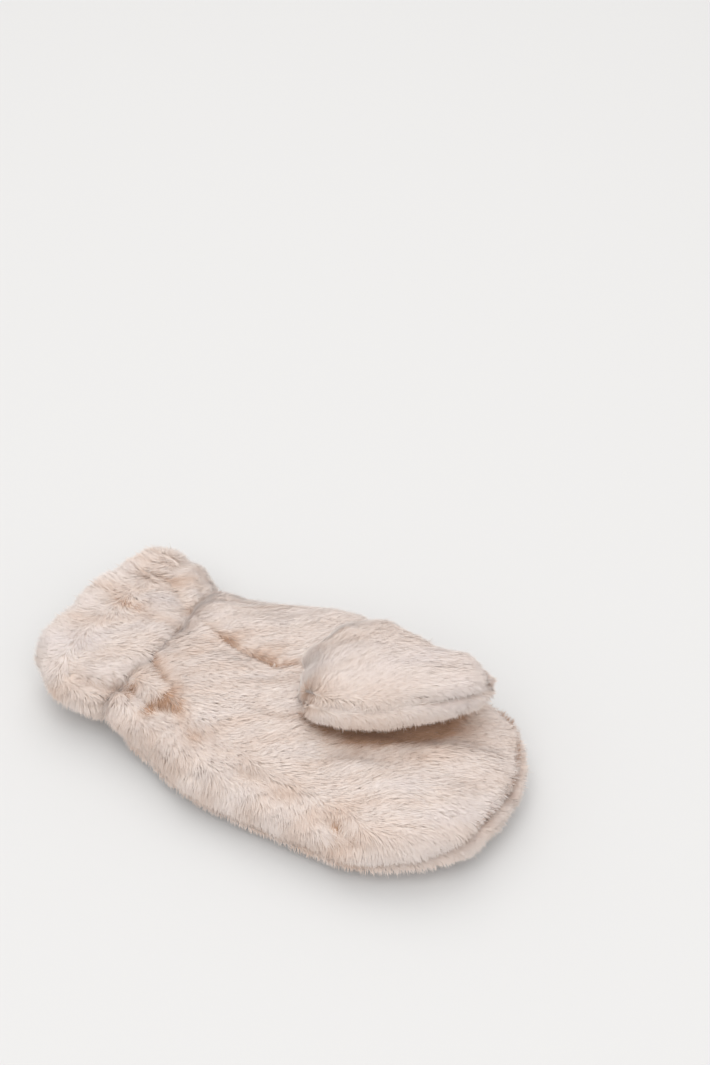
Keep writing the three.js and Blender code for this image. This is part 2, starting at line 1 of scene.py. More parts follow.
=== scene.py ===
"""The looks of a plush fur mitten that lies palm up, its thumb folded over the palm.

Each sewn piece is a backing skin with short pile on it. The pile is real strands: thin leaves with a
ridge that lean along the nap, gather in small tufts and stand out round the edges.
Metres. +X runs from the cuff's mouth to the fingertips, +Y to the thumb side and +Z up.
"""

import math

import bmesh
import bpy
import numpy as np
from mathutils import Matrix, Vector
from mathutils.bvhtree import BVHTree


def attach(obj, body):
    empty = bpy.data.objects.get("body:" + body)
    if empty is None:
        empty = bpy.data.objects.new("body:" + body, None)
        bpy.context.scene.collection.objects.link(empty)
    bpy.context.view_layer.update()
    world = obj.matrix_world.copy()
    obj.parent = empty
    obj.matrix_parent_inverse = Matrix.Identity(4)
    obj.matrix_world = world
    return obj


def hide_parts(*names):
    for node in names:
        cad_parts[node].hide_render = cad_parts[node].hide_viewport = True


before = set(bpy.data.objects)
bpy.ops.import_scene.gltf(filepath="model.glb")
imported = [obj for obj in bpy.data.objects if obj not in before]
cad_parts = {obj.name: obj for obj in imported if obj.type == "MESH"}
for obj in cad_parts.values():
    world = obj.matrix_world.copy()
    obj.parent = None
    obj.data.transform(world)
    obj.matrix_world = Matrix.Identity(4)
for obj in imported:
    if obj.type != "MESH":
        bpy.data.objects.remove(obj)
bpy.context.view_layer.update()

MM = 0.001

# The photograph's view of the mitten: the camera's turn about Z, how far it looks down, its distance
# and the point on the floor at the middle of the picture
VIEW_TURN = math.radians(36)
VIEW_PITCH = math.radians(41)
VIEW_DISTANCE = 0.8993
VIEW_MIDDLE = Vector((-0.0644, 0.1533, 0))
LENS, SENSOR = 50.03, 36.0

# The room's light and the lamps: each one's turn from the camera and its height over the floor, in degrees
ROOM = {"strength": 0.72, "colour": (1.0, 0.995, 0.985)}
LAMPS = (
    {
        "name": "window",
        "turn": 185,
        "height": 60,
        "away": 2.6,
        "size": 2.6,
        "power": 19,
        "colour": (1.0, 0.985, 0.965),
    },
    {
        "name": "front_softbox",
        "turn": 0,
        "height": 62,
        "away": 2.8,
        "size": 3.2,
        "power": 37,
        "colour": (1.0, 0.995, 0.99),
    },
)
FLOOR_HALF, FLOOR_COLOUR = 3.0, (0.715, 0.712, 0.711)

# The skin under the pile: how its mesh is made even, and how deep it lies
MERGED = 0.02 * MM
SKIN_ROUNDS, OPEN_ROUNDS = 3, 4
SKIN_DEPTH = 2.1 * MM
SKIN_OPEN = (0.02, 0.3)  # the openness over which it goes down to that depth
CREASE_SPREAD, CREASE_SHARE = 1.8, 0.6  # how much wider it gives way under a crease, and how far
SKIN_TONE, SKIN_ALONG = 0.5, 0.5  # its colour, as a tone and as a way along a strand
SKIN_PAINTED_SHADE = 0.5  # the share of its strands' painted shade that it takes where it sees little of the sky

# Rays that look out of the pile for the sky
RAYS, RAY_START, RAY_REACH = 20, 0.8 * MM, 0.4

# Where strands are sown: by openness and by height, with a share left beside the floor
SOWN = {"open": (0.02, 0.12), "height": (0.4 * MM, 3 * MM), "least": 0.12}

# A strand's own form
FLOOR_CLEAR, FLOOR_SQUASH = 0.25 * MM, 0.1
STRAND_WIDTH, WIDTH_SPREAD = 0.37 * MM, (0.7, 1.3)
RIDGE = 0.07 * MM  # how far a strand's ridge stands over its sides
MID_SHARE = 0.42  # how far along a strand its widest place lies
ROOT = {"depth": 1.8 * MM, "closed_in": 0.7, "spread": 0.3 * MM}  # closed in: the share of that depth
LENGTH = {"plain": 6.4 * MM, "spread": 0.8 * MM, "lip": 1.8 * MM}
SHORTER = {"parted": 0.25, "in_seam": 0.25, "closed_in": 0.4, "low": 0.5}  # by which share of its length
TUFT = {"size": 2.6 * MM, "pull": 0.15, "turn": 0.36}
NAP_SPREAD = 0.11
PARTED_SPREAD = (0.3, 1.3)

# How many degrees a strand rises from the pile's surface, and what adds to that. What a crease adds is
# for each metre of its depth
LEAN = {
    "plain": 8,
    "spread": 2.6,
    "edge": 5,
    "tuft": 3,
    "parted": 3,
    "across": 4,
    "creased": 1000,
    "lip": 9,
    "to_tips": 7,
    "to_cuff": -8,
    "near_edge": -8,
    "low_edge": -10,
}
STRAY = {"share": 0.05, "lean": (6, 26)}  # strands that stand out of the pile

# A strand's place on the colour ramps, from 0 for brown to 1 for the palest, and what adds to it. The near
# edge's share is painted shade, darker on the sides that face -Y
TONE = {
    "plain": 0.55,
    "spread": 0.028,
    "patches": 0.06,
    "streaks": 0.075,
    "tuft": 0.06,
    "parted": -0.55,
    "past_seam": -0.18,
    "near_edge": -0.14,
}
TONE_ENDS = (0.02, 0.98)
PATCHES = {"size": 0.06, "seed": 71}
STREAKS = {"size": 0.015, "along": 0.3, "seed": 73}

# How a strand is shaded: its sides as turned away, and those on the edges as upright
ROUNDNESS = 0.09
EDGE_FLATTEN, FLATTENED = 0.4, (0.35, 0.85)

# Ranges over which a place counts from not at all to wholly as one of these
NEAR_EDGE = (0.25, 0.8)  # how far it faces -Y
LOW_HEIGHT, LOW_FACES = (8 * MM, 20 * MM), (0.0, 0.5)  # its height, and how far it faces -Y
TO_TIPS, TO_CUFF = (0.3, 0.8), (0.05, 0.6)  # how far it faces +X, and -X
LIP = (0.104, 0.124)  # how far towards the cuff's mouth it lies
OPEN = (0.05, 0.4)  # how much of the sky it sees
ON_TOP, CREASE_TOP, THUMB_TOP = (0.012, 0.020), (0.014, 0.020), (0.026, 0.034)  # its height

# The pile's own unevenness
SWELL_SIZE, SWELL_HEIGHT = 0.021, 0.45 * MM
SLOPE_STEP = 0.4 * MM

# The seam of the thumb's gusset on the palm, from the wrist to the foot of the thumb
GUSSET_SEAM = (
    (-0.0736, 0.0126),
    (-0.0536, 0.0071),
    (-0.0356, 0.0051),
    (-0.0116, 0.0066),
    (0.0024, 0.0136),
    (0.0094, 0.0226),
    (0.0144, 0.0356),
)
SEAM_TOP = 0.026  # the height over which a place can be beside it
SEAM_FILL, SEAM_FILL_WIDE = 1.6 * MM, 3.5 * MM  # how far the pile closes over it
SEAM_SHORT_WIDE = 2.6 * MM  # the strip in which strands are shorter
SEAM_TAN_START, SEAM_TAN_WIDE = 1.5 * MM, 5.5 * MM  # the strip on the gusset's side that is more tan

WRIST_PINCH = (-0.0600, -0.0400)  # where the gathered wrist is drawn in the tightest
THUMB_HEEL = (0.0240, -0.0110)  # the near corner of the thumb's foot
THUMB_RISE = {"x": 0.016, "y": 0.028, "wide": 0.024, "rounds": 10}  # where the gusset turns up into the thumb
WRIST = {"x": -0.0700, "wide": 0.0100, "fill": 0.0054, "fade": (0.026, 0.050)}  # the gathered line
WAIST = {"x": -0.0450, "y": -0.0660, "wide": 0.0220, "deep": 0.0012}  # the near side by the wrist
MOUTH = {"y": -0.0009, "z": 0.022, "half_width": 0.046, "half_height": 0.014}  # the cuff's outermost ring

# The way the pile lies: its turn from +X in degrees, how far it wanders, and over what distance
STREAK_TURN = 34
HAND_NAP = {"turn": 17, "to_tips": 16, "x": (-0.06, 0.05), "wander": 15, "size": 0.06, "seed": 5}
WRIST_FAN = {"weight": 0.7, "reach": 0.026, "start": (0.002, 0.012)}
THUMB_NAP = {"turn": 30, "at_heel": 50, "reach": 0.034, "wander": 12, "size": 0.05, "seed": 8}
CUFF_NAP = {"turn": 30, "wander": 18, "size": 0.045, "seed": 3}

# How it turns over an edge, on the far side and on the near side: from what steepness, how far out and down
HANG_RANGE, HANG_SHARE = 0.6, 0.72
HAND_HANG = {"start": (0.5, 0.12), "out": (0.7, 0.7), "down": (0.35, 0.95)}
THUMB_HANG = {"start": (0.4, 0.4), "out": (0.35, 0.35), "down": (0.25, 1.1)}
CUFF_HANG = {"start": (0.3, 0.3), "out": (0.3, 0.7), "down": (0.25, 1.0)}

# How the cuff's pile turns to lie over the lip: from and up to which distance, and by which way round
LIP_TURN = {"from": 0.098, "to": 0.117, "weight": 3.2, "round_by": (0.0, -1.0, 0.0)}
LIP_TURN_FAR = {"from": 0.108, "to": 0.121, "faces": (0.3, 0.4), "round_by": (0.0, 0.4, -1.0)}

# Places where the pile parts and its tan roots show: x and y, how wide, how strong
PARTINGS = (
    {"x": -0.1045, "y": -0.0012, "wide": 0.0050, "strength": 0.90},
    {"x": -0.0975, "y": -0.0020, "wide": 0.0050, "strength": 0.60},
    {"x": -0.1105, "y": 0.0238, "wide": 0.0040, "strength": 0.45},
    {"x": -0.0642, "y": -0.0409, "wide": 0.0028, "strength": 1.00},
    {"x": -0.0687, "y": -0.0233, "wide": 0.0026, "strength": 1.00},
    {"x": -0.0523, "y": -0.0469, "wide": 0.0045, "strength": 0.90},
    {"x": -0.0455, "y": -0.0398, "wide": 0.0040, "strength": 0.60},
    {"x": -0.0377, "y": -0.0390, "wide": 0.0040, "strength": 0.50},
    {"x": -0.0395, "y": -0.0574, "wide": 0.0070, "strength": 0.35},
    {"x": -0.0146, "y": 0.0112, "wide": 0.0060, "strength": 0.40},
    {"x": -0.0050, "y": 0.0110, "wide": 0.0060, "strength": 0.40},
    {"x": 0.0215, "y": -0.0100, "wide": 0.0060, "strength": 0.60},
    {"x": 0.0692, "y": -0.0465, "wide": 0.0034, "strength": 0.95},
)

# Creases that the pile falls into: the line in x and y, how wide and deep, how far tan roots show
CREASES = (
    {
        "line": (
            (-0.116, 0.001),
            (-0.1033, -0.0011),
            (-0.0912, -0.0023),
            (-0.0815, -0.0014),
            (-0.0728, 0.0013),
        ),
        "wide": 0.0050,
        "deep": 0.0015,
        "roots": 0.18,
    },
    {
        "line": ((-0.1105, 0.0238), (-0.0937, 0.0246), (-0.0813, 0.0176), (-0.0742, 0.0136)),
        "wide": 0.0045,
        "deep": 0.0013,
        "roots": 0.18,
    },
    {
        "line": ((-0.098, -0.054), (-0.0820, -0.0518), (-0.0769, -0.0436), (-0.066, -0.0409)),
        "wide": 0.0046,
        "deep": 0.0014,
        "roots": 0.18,
    },
    {
        "line": ((-0.0687, -0.0233), (-0.0563, -0.0301), (-0.0484, -0.0317), (-0.043, -0.036)),
        "wide": 0.0036,
        "deep": 0.0010,
        "roots": 0.28,
    },
    {
        "line": (
            (-0.0523, -0.0440),
            (-0.0455, -0.0398),
            (-0.0377, -0.0382),
            (-0.031, -0.044),
            (-0.0212, -0.0482),
        ),
        "wide": 0.0042,
        "deep": 0.0012,
        "roots": 0.26,
    },
    {
        "line": ((-0.0212, -0.0482), (-0.0112, -0.0477), (0.0, -0.044)),
        "wide": 0.0055,
        "deep": 0.0016,
        "roots": 0.02,
    },
    {
        "line": ((-0.0038, -0.0206), (0.013, -0.0183), (0.0202, -0.0101)),
        "wide": 0.0036,
        "deep": 0.0014,
        "roots": 0.1,
    },
    {
        "line": ((0.0124, -0.0497), (0.0177, -0.0494), (0.0337, -0.0481), (0.0412, -0.0452)),
        "wide": 0.0045,
        "deep": 0.0010,
        "roots": 0.14,
    },
)

# Where the pile fills out the thumb: its foot by the gusset and its far side
FILLS = (
    {"line": ((0.0045, 0.016), (0.0060, 0.034), (0.0095, 0.052)), "wide": 0.0085, "fill": 0.0036},
    {"line": ((0.030, 0.047), (0.055, 0.050), (0.074, 0.047)), "wide": 0.0100, "fill": 0.0018},
)

# Each piece: its strands, how much deeper its pile lies on the near side's round edge, and how much painted
# shade, a tan darkening of its tone, it takes where it sees little of the sky
PIECES = (
    {
        "name": "palm_fur",
        "node": "palm_panel",
        "slot": "hand_fur",
        "strands": 94_000,
        "seed": 11,
        "tuck": 0.9 * MM,
        "shade": 0.15,
    },
    {
        "name": "back_fur",
        "node": "back_panel",
        "slot": "hand_fur",
        "strands": 84_000,
        "seed": 23,
        "tuck": 3.4 * MM,
        "shade": 0.15,
    },
    {
        "name": "thumb_fur",
        "node": "thumb_outer_panel",
        "slot": "hand_fur",
        "strands": 92_000,
        "seed": 37,
        "tuck": 0,
        "shade": 0.2,
    },
    {
        "name": "thumb_inside_fur",
        "node": "thumb_inner_panel",
        "slot": "hand_fur",
        "strands": 52_000,
        "seed": 41,
        "tuck": 0,
        "shade": 0.3,
    },
    {
        "name": "cuff_fur",
        "node": "cuff",
        "slot": "cuff_fur",
        "strands": 94_000,
        "seed": 59,
        "tuck": 0.9 * MM,
        "shade": 0.12,
    },
)
PAINTED_SHADE_OPEN = (0.1, 0.55)  # the openness over which that painted shade ends

# Painted shade under the thumb, brown on the palm in the narrow space there: from where along it, and at what
# openness
PAINTED_SHADE_UNDER_THUMB = {"node": "palm_panel", "strength": 0.84, "x": (0.012, 0.03), "open": (0.2, 0.85)}

# The bake map: how wide a strand is on it, and what it leaves free at its foot and round its ends
MAP_WIDE, MAP_FOOT, MAP_ENDS = 0.004, 0.01, (0.002, 0.998)

# The fur's colours at the roots and at the tips of the strands, by tone, and where the tips' takes over
TIPS_FROM, TIPS_WHOLE = 0.05, 0.62
ROOTS = (
    (0.0, (0.42, 0.23, 0.13)),
    (0.3, (0.76, 0.60, 0.50)),
    (0.6, (0.86, 0.75, 0.67)),
    (1.0, (0.90, 0.81, 0.76)),
)
TIPS = (
    (0.0, (0.57, 0.34, 0.22)),
    (0.3, (0.82, 0.68, 0.595)),
    (0.55, (0.865, 0.767, 0.713)),
    (0.8, (0.88, 0.80, 0.77)),
    (1.0, (0.90, 0.845, 0.845)),
)


def unit(vectors):
    """The same arrows, one long."""
    return vectors / np.maximum(np.linalg.norm(vectors, axis=-1, keepdims=True), 1e-12)


def smooth(low, high, values):
    """How far the values are from low to high, from 0 to 1, eased at both ends."""
    t = np.clip((values - low) / (high - low), 0, 1)
    return t * t * (3 - 2 * t)


def drift(points, size, seed):
    """A value from about -1 to 1 that changes smoothly over space, with swells about size across."""
    rng = np.random.default_rng(seed)
    waves = unit(rng.normal(size=(9, 3))) * (2 * math.pi / size) * rng.uniform(0.6, 1.5, (9, 1))
    phases = rng.uniform(0, 2 * math.pi, 9)
    return np.sin(points @ waves.T + phases).sum(axis=1) / 2.6


def streaks(points, seed):
    """A value that changes slowly along the nap and faster across it."""
    along, across = level([STREAK_TURN])[0, :2], level([STREAK_TURN + 90])[0, :2]
    stretched = np.stack(
        [STREAKS["along"] * points[:, :2] @ along, points[:, :2] @ across, points[:, 2]], axis=1
    )
    return drift(stretched, STREAKS["size"], seed)


def line_distance(points, line):
    """How far each point lies from a line in the floor's plane, less than 0 on its right."""
    best = np.full(len(points), np.inf)
    side = np.ones(len(points))
    for (ax, ay), (bx, by) in zip(line, line[1:]):
        run = np.array([bx - ax, by - ay])
        off = points[:, :2] - np.array([ax, ay])
        share = np.clip((off @ run) / (run @ run), 0, 1)
        rest = off - share[:, None] * run
        away = np.linalg.norm(rest, axis=1)
        nearer = away < best
        best[nearer] = away[nearer]
        side[nearer] = np.where(run[0] * rest[:, 1] < run[1] * rest[:, 0], -1, 1)[nearer]
    return best * side


def scatter(cells, seed):
    """Three numbers from 0 to 1 for each whole-number cell, the same each time."""
    x, y, z = (cells[:, i].astype(np.int64) for i in range(3))
    mixed = (x * 73856093) ^ (y * 19349663) ^ (z * 83492791) ^ (seed * 2654435)
    parts = []
    for turn in (1, 2, 3):
        mixed = (mixed * 1103515245 + 12345 * turn) & 0x7FFFFFFF
        mixed = mixed ^ (mixed >> 13)
        parts.append((mixed % 10007) / 10007)
    return np.stack(parts, axis=1)


def tufts(points, size, seed):
    """The middle of the tuft that each point belongs to, and three numbers of that tuft."""
    home = np.floor(points / size)
    best = np.full(len(points), np.inf)
    middle = np.zeros_like(points)
    own = np.zeros_like(points)
    steps = np.array([(i, j, k) for i in (-1, 0, 1) for j in (-1, 0, 1) for k in (-1, 0, 1)])
    for step in steps:
        cells = home + step
        numbers = scatter(cells, seed)
        centre = (cells + numbers) * size
        away = ((centre - points) ** 2).sum(axis=1)
        nearer = away < best
        best[nearer] = away[nearer]
        middle[nearer] = centre[nearer]
        own[nearer] = scatter(cells[nearer], seed + 7)
    return middle, own


def merged_copy(node):
    """A bmesh of a CAD node with its loose triangles joined at their corners."""
    form = bmesh.new()
    form.from_mesh(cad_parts[node].data)
    bmesh.ops.remove_doubles(form, verts=form.verts, dist=MERGED)
    bmesh.ops.dissolve_degenerate(form, edges=form.edges, dist=MERGED)
    bmesh.ops.triangulate(form, faces=form.faces)
    return form


def all_walls():
    """Every CAD node in one tree, to look out of the pile from."""
    places, faces = [], []
    for node in sorted(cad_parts):
        form = merged_copy(node)
        form.verts.index_update()
        start = len(places)
        places += [v.co.copy() for v in form.verts]
        faces += [[start + v.index for v in f.verts] for f in form.faces]
        form.free()
    return BVHTree.FromPolygons(places, faces)


def half_sphere(count):
    """Directions spread evenly over the upper half of a sphere."""
    turn = math.pi * (3 - math.sqrt(5))
    ups = [(i + 0.5) / count for i in range(count)]
    return [
        Vector((math.cos(i * turn) * math.sqrt(1 - up * up), math.sin(i * turn) * math.sqrt(1 - up * up), up))
        for i, up in enumerate(ups)
    ]


def openness(form, walls):
    """How much of the sky each vertex sees past the mitten's own walls, from 0 to 1."""
    sky = half_sphere(RAYS)
    shares = np.zeros(len(form.verts))
    for i, v in enumerate(form.verts):
        lean = Vector((0, 0, 1)).rotation_difference(v.normal)
        start = v.co + v.normal * RAY_START
        free = 0
        for ray in sky:
            hit = walls.ray_cast(start, lean @ ray, RAY_REACH)
            free += hit[0] is None
        shares[i] = free / RAYS
    return shares


def ease(form, verts, rounds):
    """Draws each vertex to its neighbours, a number of times."""
    axes = {"use_axis_x": True, "use_axis_y": True, "use_axis_z": True}
    for _ in range(rounds):
        bmesh.ops.smooth_vert(form, verts=verts, factor=0.5, **axes)


def surface(node, walls):
    """The node's outer surface as arrays: places, normals, triangles and openness."""
    form = merged_copy(node)
    bmesh.ops.subdivide_edges(form, edges=form.edges, cuts=1, use_grid_fill=True)
    bmesh.ops.triangulate(form, faces=form.faces)
    ease(form, form.verts, SKIN_ROUNDS)
    form.normal_update()
    open_share = openness(form, walls)
    if node == "thumb_outer_panel":
        middle = Vector((THUMB_RISE["x"], THUMB_RISE["y"]))
        rise = [v for v in form.verts if (v.co.xy - middle).length < THUMB_RISE["wide"] and v.normal.z > 0]
        ease(form, rise, THUMB_RISE["rounds"])
    form.normal_update()
    form.verts.index_update()
    places = np.array([v.co for v in form.verts])
    normals = unit(np.array([v.normal for v in form.verts]))
    triangles = np.array([[v.index for v in f.verts] for f in form.faces])
    form.free()
    open_share = evened(open_share, triangles)
    return {"places": places, "normals": normals, "triangles": triangles, "open": open_share}


def evened(values, triangles):
    """The values of the vertices, each drawn to its neighbours'."""
    for _ in range(OPEN_ROUNDS):
        total, share = np.zeros_like(values), np.zeros_like(values)
        for corner in range(3):
            np.add.at(total, triangles[:, corner], values[triangles].mean(axis=1))
            np.add.at(share, triangles[:, corner], 1)
        values = total / np.maximum(share, 1)
    return values


def level(angles):
    """Arrows in the floor's plane at angles in degrees from +X."""
    turns = np.radians(angles)
    return np.stack([np.cos(turns), np.sin(turns), np.zeros_like(turns)], axis=1)


def hanging(aim, normals, hang, near):
    """The nap turned outwards and down where the surface rounds over an edge."""
    start, out, down = (
        np.where(near, hang[what][1], hang[what][0])[:, None] for what in ("start", "out", "down")
    )
    side = normals * np.array([[1.0, 1.0, 0.0]])
    side[:, 0] = np.maximum(side[:, 0], 0)
    steep = np.linalg.norm(side, axis=1, keepdims=True)
    over = smooth(start, start + HANG_RANGE, steep)
    return aim * (1 - HANG_SHARE * over) + over * (out * side + down * np.array([[0.0, 0.0, -1.0]]))


def wandering(points, nap):
    """How many degrees the nap wanders at each point."""
    return nap["wander"] * drift(points, nap["size"], nap["seed"])


def hand_nap(points, normals):
    """Along the hand and towards its thumb side, fanning from the pinched wrist, down over the near edge."""
    to_tips = smooth(*HAND_NAP["x"], points[:, 0])
    aim = level(HAND_NAP["turn"] + HAND_NAP["to_tips"] * to_tips + wandering(points, HAND_NAP))
    from_pinch = points - np.array([[*WRIST_PINCH, 0.0]])
    from_pinch[:, 2] = 0
    away = np.linalg.norm(from_pinch, axis=1)
    fan = np.exp(-((away / WRIST_FAN["reach"]) ** 2)) * smooth(*WRIST_FAN["start"], away)
    aim = aim + WRIST_FAN["weight"] * fan[:, None] * unit(from_pinch)
    return hanging(aim, normals, HAND_HANG, points[:, 1] < 0)


def thumb_nap(points, normals):
    """Across the thumb's heel, turning along it to the tip, and along the hand on the gusset."""
    away = np.hypot(points[:, 0] - THUMB_HEEL[0], points[:, 1] - THUMB_HEEL[1])
    at_heel = THUMB_NAP["at_heel"] * np.exp(-((away / THUMB_NAP["reach"]) ** 2))
    aim = level(THUMB_NAP["turn"] + at_heel + wandering(points, THUMB_NAP))
    return hanging(aim, normals, THUMB_HANG, normals[:, 1] < 0)


def cuff_nap(points, normals):
    """The same way as on the hand, turning round to lie over the lip and into the mouth."""
    aim = level(CUFF_NAP["turn"] + wandering(points, CUFF_NAP))
    aim = hanging(aim, normals, CUFF_HANG, normals[:, 1] < 0)
    out = np.zeros_like(points)
    out[:, 1] = (points[:, 1] - MOUTH["y"]) / MOUTH["half_width"] ** 2
    out[:, 2] = (points[:, 2] - MOUTH["z"]) / MOUTH["half_height"] ** 2
    out = unit(out)
    faces_out = (normals * out).sum(axis=1, keepdims=True)
    over_lip = normals[:, :1] * out - faces_out * np.array([[1.0, 0.0, 0.0]])
    far = smooth(*LIP_TURN_FAR["faces"], normals[:, 1:2])
    start, end, round_by = (
        (1 - far) * np.array([LIP_TURN[what]]) + far * np.array([LIP_TURN_FAR[what]])
        for what in ("from", "to", "round_by")
    )
    turn = np.where(faces_out > 0, smooth(start, end, -points[:, :1]), 1.0)
    return aim + turn * (over_lip - aim) + LIP_TURN["weight"] * turn * (1 - turn) * round_by


NAPS = {
    "palm_panel": hand_nap,
    "back_panel": hand_nap,
    "thumb_outer_panel": thumb_nap,
    "thumb_inner_panel": thumb_nap,
    "cuff": cuff_nap,
}


def parted(points):
    """How far the pile is parted at each point, from 0 to 1."""
    share = np.zeros(len(points))
    for spot in PARTINGS:
        away = np.hypot(points[:, 0] - spot["x"], points[:, 1] - spot["y"])
        share = np.maximum(share, spot["strength"] * np.exp(-((away / spot["wide"]) ** 2)))
    return share * smooth(*ON_TOP, points[:, 2])


def creased(points, what, spread=1):
    """How deep the pile falls in, or how far its roots show, where it creases."""
    share = np.zeros(len(points))
    for crease in CREASES:
        away = line_distance(points, crease["line"])
        share = np.maximum(share, crease[what] * np.exp(-((away / (spread * crease["wide"])) ** 2)))
    return share * smooth(*CREASE_TOP, points[:, 2])


def relief(points, seed):
    """How far the pile stands over its plain surface: swells and filled places, less the creases."""
    swells = SWELL_HEIGHT * (drift(points, SWELL_SIZE, seed) + streaks(points, seed + 1))
    from_waist = np.hypot(points[:, 0] - WAIST["x"], points[:, 1] - WAIST["y"])
    waist = WAIST["deep"] * np.exp(-((from_waist / WAIST["wide"]) ** 2))
    in_seam = np.exp(-((gusset_side(points) / SEAM_FILL_WIDE) ** 2))
    filled = WRIST["fill"] * at_wrist(points) + SEAM_FILL * in_seam
    for place in FILLS:
        away = line_distance(points, place["line"])
        filled += place["fill"] * np.exp(-((away / place["wide"]) ** 2)) * smooth(*THUMB_TOP, points[:, 2])
    return swells + filled - waist - creased(points, "deep")


def at_wrist(points):
    """How near each point on top is to the gathered line between cuff and hand, from 0 to 1."""
    share = np.exp(-(((points[:, 0] - WRIST["x"]) / WRIST["wide"]) ** 2))
    return share * smooth(*ON_TOP, points[:, 2]) * (1 - smooth(*WRIST["fade"], points[:, 1]))


def tilted(points, normals, seed):
    """The normals of the pile's surface with its swells and creases."""
    moves = np.eye(3) * SLOPE_STEP
    rises = [relief(points + move, seed) - relief(points - move, seed) for move in moves]
    slope = np.stack(rises, axis=1) / (2 * SLOPE_STEP)
    slope -= (slope * normals).sum(axis=1, keepdims=True) * normals
    return unit(normals - slope)


def gusset_side(points):
    """How far each point lies from the gusset's seam, less than 0 on the palm's side."""
    return np.where(points[:, 2] > SEAM_TOP, line_distance(points, GUSSET_SEAM), 1.0)


def rooted(skin, count, rng):
    """Places on the fur side, spread by area, with their normals and openness."""
    corners = skin["places"][skin["triangles"]]
    cross = np.cross(corners[:, 1] - corners[:, 0], corners[:, 2] - corners[:, 0])
    area = np.linalg.norm(cross, axis=1) / 2
    sees = skin["open"][skin["triangles"]].mean(axis=1)
    height = corners[:, :, 2].mean(axis=1)
    wanted = SOWN["least"] + (1 - SOWN["least"]) * smooth(*SOWN["height"], height)
    wanted = smooth(*SOWN["open"], sees) * wanted
    weight = area * wanted
    picked = rng.choice(len(weight), size=count, p=weight / weight.sum())
    a, b = rng.random((2, count))
    flip = a + b > 1
    a[flip], b[flip] = 1 - a[flip], 1 - b[flip]
    shares = np.stack([1 - a - b, a, b], axis=1)
    rows = skin["triangles"][picked]
    points = (skin["places"][rows] * shares[:, :, None]).sum(axis=1)
    normals = unit((skin["normals"][rows] * shares[:, :, None]).sum(axis=1))
    return points, normals, (skin["open"][rows] * shares).sum(axis=1)


def pile(piece, skin):
    """The strands of one piece as arrays: four places and normals each, and each strand's tone."""
    rng = np.random.default_rng(piece["seed"])
    points, normals, sees = rooted(skin, piece["strands"], rng)
    shown = tilted(points, normals, piece["seed"])
    middle, own = tufts(points, TUFT["size"], piece["seed"])
    flat, across_nap = laid(piece, points, normals, own, rng)
    flat = unit(along_surface(flat, shown))
    place = judged(points, normals, shown, sees, rng)
    rise = rises(place, own, across_nap, rng)
    long = lengths(place, rng)
    root = points + normals * root_heights(piece, points, place, rng)[:, None]
    tip = root + leaning(shown, flat, rise) * long[:, None]
    tip += along_surface(middle - points, shown) * TUFT["pull"]
    for ends in (root, tip):
        sunk = ends[:, 2] < FLOOR_CLEAR
        ends[sunk, 2] = FLOOR_CLEAR + FLOOR_SQUASH * np.abs(ends[sunk, 2])
    places, across = leaves(root, tip, shown, rng)
    return places, shaded(shown, across, place["edge"]), toned(piece, points, sees, own, place, rng)


def along_surface(arrows, normals):
    """The part of each arrow that lies along the surface."""
    return arrows - (arrows * normals).sum(axis=1, keepdims=True) * normals


def laid(piece, points, normals, own, rng):
    """The arrow along the skin that each strand leans to, and how far its nap stands across the skin."""
    nap = NAPS[piece["node"]](points, normals)
    sideways = np.cross(normals, unit(nap))
    nap = nap + (own[:, :1] - 0.5) * TUFT["turn"] * sideways + rng.normal(0, NAP_SPREAD, points.shape)
    flat = along_surface(nap, normals)
    stands = 1 - np.clip(np.linalg.norm(flat, axis=1) / np.linalg.norm(nap, axis=1), 0, 1)
    return unit(flat), stands


def judged(points, normals, shown, sees, rng):
    """How far each strand's place counts as one of several kinds, from 0 to 1, and how deep it is creased."""
    seam = gusset_side(points)
    faces_near = -normals[:, 1]
    return {
        "parted": parted(points) * rng.uniform(*PARTED_SPREAD, len(points)),
        "in_seam": np.exp(-((seam / SEAM_SHORT_WIDE) ** 2)),
        "past_seam": smooth(-SEAM_TAN_START, 0, seam) * np.exp(-((seam / SEAM_TAN_WIDE) ** 2)),
        "edge": np.linalg.norm(normals[:, :2], axis=1),
        "near_edge": smooth(*NEAR_EDGE, faces_near),
        "low": (1 - smooth(*LOW_HEIGHT, points[:, 2])) * smooth(*LOW_FACES, faces_near),
        "lip": smooth(*LIP, -points[:, 0]),
        "open": smooth(*OPEN, sees),
        "to_tips": smooth(*TO_TIPS, shown[:, 0]),
        "to_cuff": smooth(*TO_CUFF, -shown[:, 0]),
        "creased": creased(points, "deep"),
    }


def rises(place, own, across_nap, rng):
    """How many degrees each strand rises from the pile's surface."""
    count = len(across_nap)
    stray = (rng.random(count) < STRAY["share"]) * rng.uniform(*STRAY["lean"], count)
    rise = LEAN["plain"] + stray * (1 - place["low"]) + rng.normal(0, LEAN["spread"], count)
    rise += LEAN["lip"] * place["lip"] * rng.random(count)
    rise += LEAN["tuft"] * (own[:, 1] - 0.5) + LEAN["across"] * across_nap
    for what in ("edge", "parted", "creased", "near_edge", "to_tips"):
        rise += LEAN[what] * place[what]
    rise += LEAN["low_edge"] * place["low"] * place["edge"]
    return rise + LEAN["to_cuff"] * place["to_cuff"] * (1 - place["lip"])


def lengths(place, rng):
    """How long each strand is."""
    long = LENGTH["plain"] + rng.normal(0, LENGTH["spread"], len(place["lip"])) + LENGTH["lip"] * place["lip"]
    long *= 1 - SHORTER["closed_in"] * (1 - place["open"])
    for what in ("parted", "in_seam", "low"):
        long *= 1 - SHORTER[what] * place[what]
    return long


